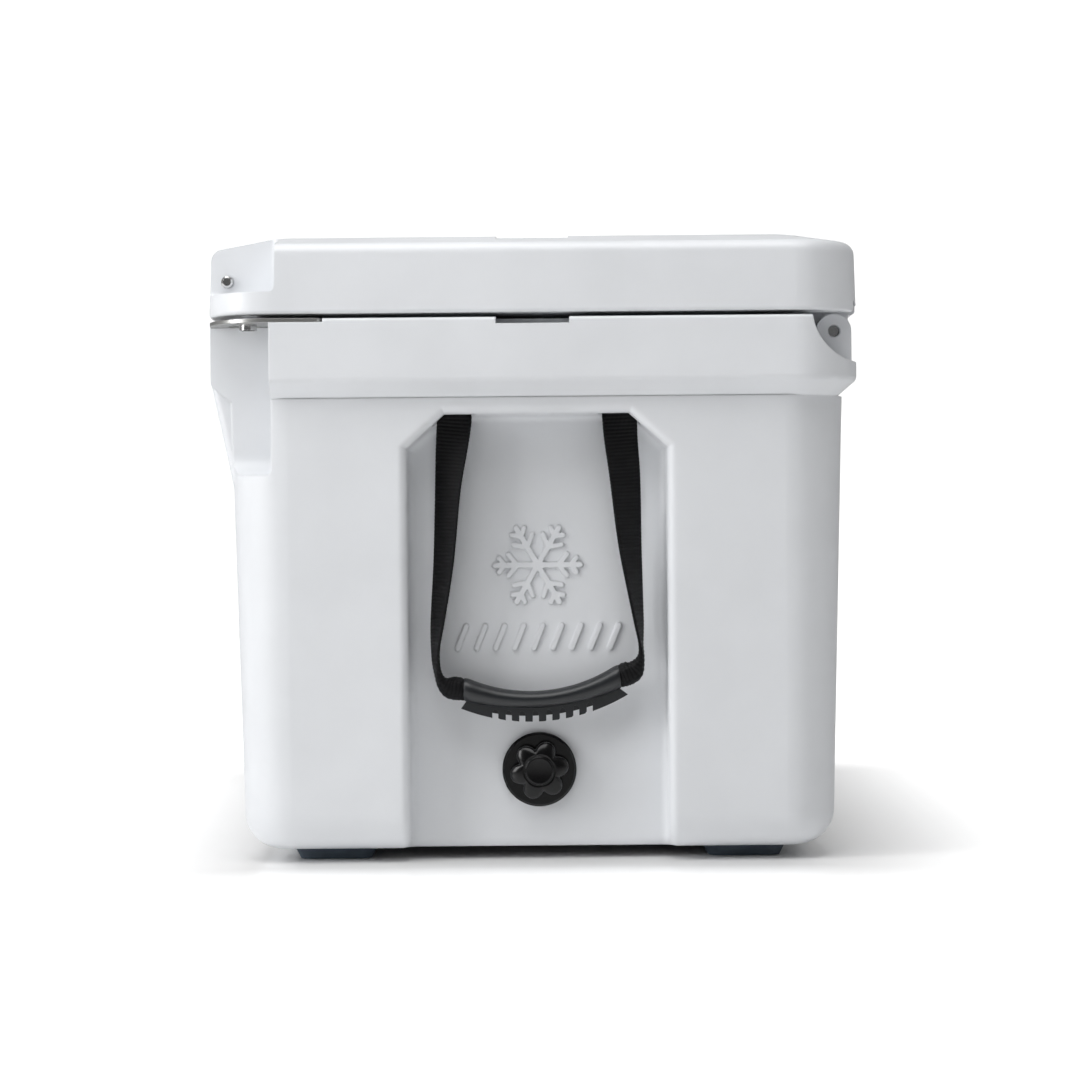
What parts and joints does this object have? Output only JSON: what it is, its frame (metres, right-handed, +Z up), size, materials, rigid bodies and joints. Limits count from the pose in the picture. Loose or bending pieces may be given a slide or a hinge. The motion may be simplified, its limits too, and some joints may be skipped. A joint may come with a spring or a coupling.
{
  "type": "cooler chest",
  "caption": "Rotomoulded insulated cooler chest with a rod-hinged lid, rubber latches, webbing carry handles, a screw-in drain plug and rubber feet.",
  "frame": {"origin": "centre of the chest's footprint, on the surface that the feet stand on", "axes": "+Z up, +X along the length towards the drain end, -Y towards the latches at the front, +Y towards the hinge"},
  "size_m": [0.7, 0.44, 0.4255],
  "materials": {
    "white_polyethylene": "smooth satin, rotomoulded",
    "insulation_foam": "closed-cell foam",
    "gasket_rubber": "matte",
    "latch_rubber": "matte moulded",
    "stainless_steel": "brushed",
    "bright_steel": "polished",
    "black_plastic": "glossy moulded",
    "black_webbing": "woven nylon",
    "grip_rubber": "satin moulded",
    "foot_rubber": "matte moulded"
  },
  "bodies": {
    "chest": {"body_shell": "white_polyethylene", "body_liner": "white_polyethylene", "body_foam": "insulation_foam", "hinge_rod": "stainless_steel", "lock_plate_screws": "bright_steel", "foot_screws": "stainless_steel", "strap_pins": "stainless_steel", "drain_body": "black_plastic", "drain_seal": "gasket_rubber", "drain_nut": "black_plastic", "lock_plate_right": "stainless_steel", "lock_bush_right": "bright_steel", "strap_loops_right": "black_webbing", "foot_front_right": "foot_rubber", "foot_rear_right": "foot_rubber", "lock_plate_left": "stainless_steel", "lock_bush_left": "bright_steel", "strap_loops_left": "black_webbing", "foot_front_left": "foot_rubber", "foot_rear_left": "foot_rubber"},
    "lid": {"lid_shell": "white_polyethylene", "lid_foam": "insulation_foam", "lid_gasket": "gasket_rubber", "latch_pin_right": "bright_steel", "latch_pin_left": "bright_steel"},
    "latch_right": {"latch_right": "latch_rubber"},
    "latch_left": {"latch_left": "latch_rubber"},
    "handle_right": {"handle_strap_right": "black_webbing", "handle_grip_right": "grip_rubber"},
    "handle_left": {"handle_strap_left": "black_webbing", "handle_grip_left": "grip_rubber"},
    "drain_washer": {"knob_seal": "gasket_rubber"},
    "drain_plug": {"drain_knob": "black_plastic"}
  },
  "joints": [
    {"name": "lid_hinge", "type": "hinge", "parent": "chest", "child": "lid", "pos_m": [0, 0.2035, 0.3565], "axis": [-1, 0, 0], "range_deg": [0, 95]},
    {"name": "latch_right_pivot", "type": "hinge", "parent": "lid", "child": "latch_right", "pos_m": [0.258, -0.2077, 0.3944], "axis": [-1, 0, 0], "range_deg": [-8, 110]},
    {"name": "handle_right_swing", "type": "hinge", "parent": "chest", "child": "handle_right", "pos_m": [0.32, 0.002, 0.292], "axis": [0, -1, 0], "range_deg": [0, 88]},
    {"name": "latch_left_pivot", "type": "hinge", "parent": "lid", "child": "latch_left", "pos_m": [-0.258, -0.2077, 0.3944], "axis": [-1, 0, 0], "range_deg": [-8, 110]},
    {"name": "handle_left_swing", "type": "hinge", "parent": "chest", "child": "handle_left", "pos_m": [-0.32, 0.002, 0.292], "axis": [0, 1, 0], "range_deg": [0, 88]},
    {"name": "drain_travel", "type": "slide", "parent": "chest", "child": "drain_washer", "axis": [1, 0, 0], "range_m": [0, 0.012]},
    {"name": "drain_turn", "type": "hinge", "parent": "drain_washer", "child": "drain_plug", "pos_m": [0.31, 0.002, 0.061], "axis": [1, 0, 0], "range_deg": [0, 1440]}
  ],
  "couplings": [
    {"joint": "drain_travel", "follows": "drain_turn", "m_per_rad": 0.000477}
  ]
}
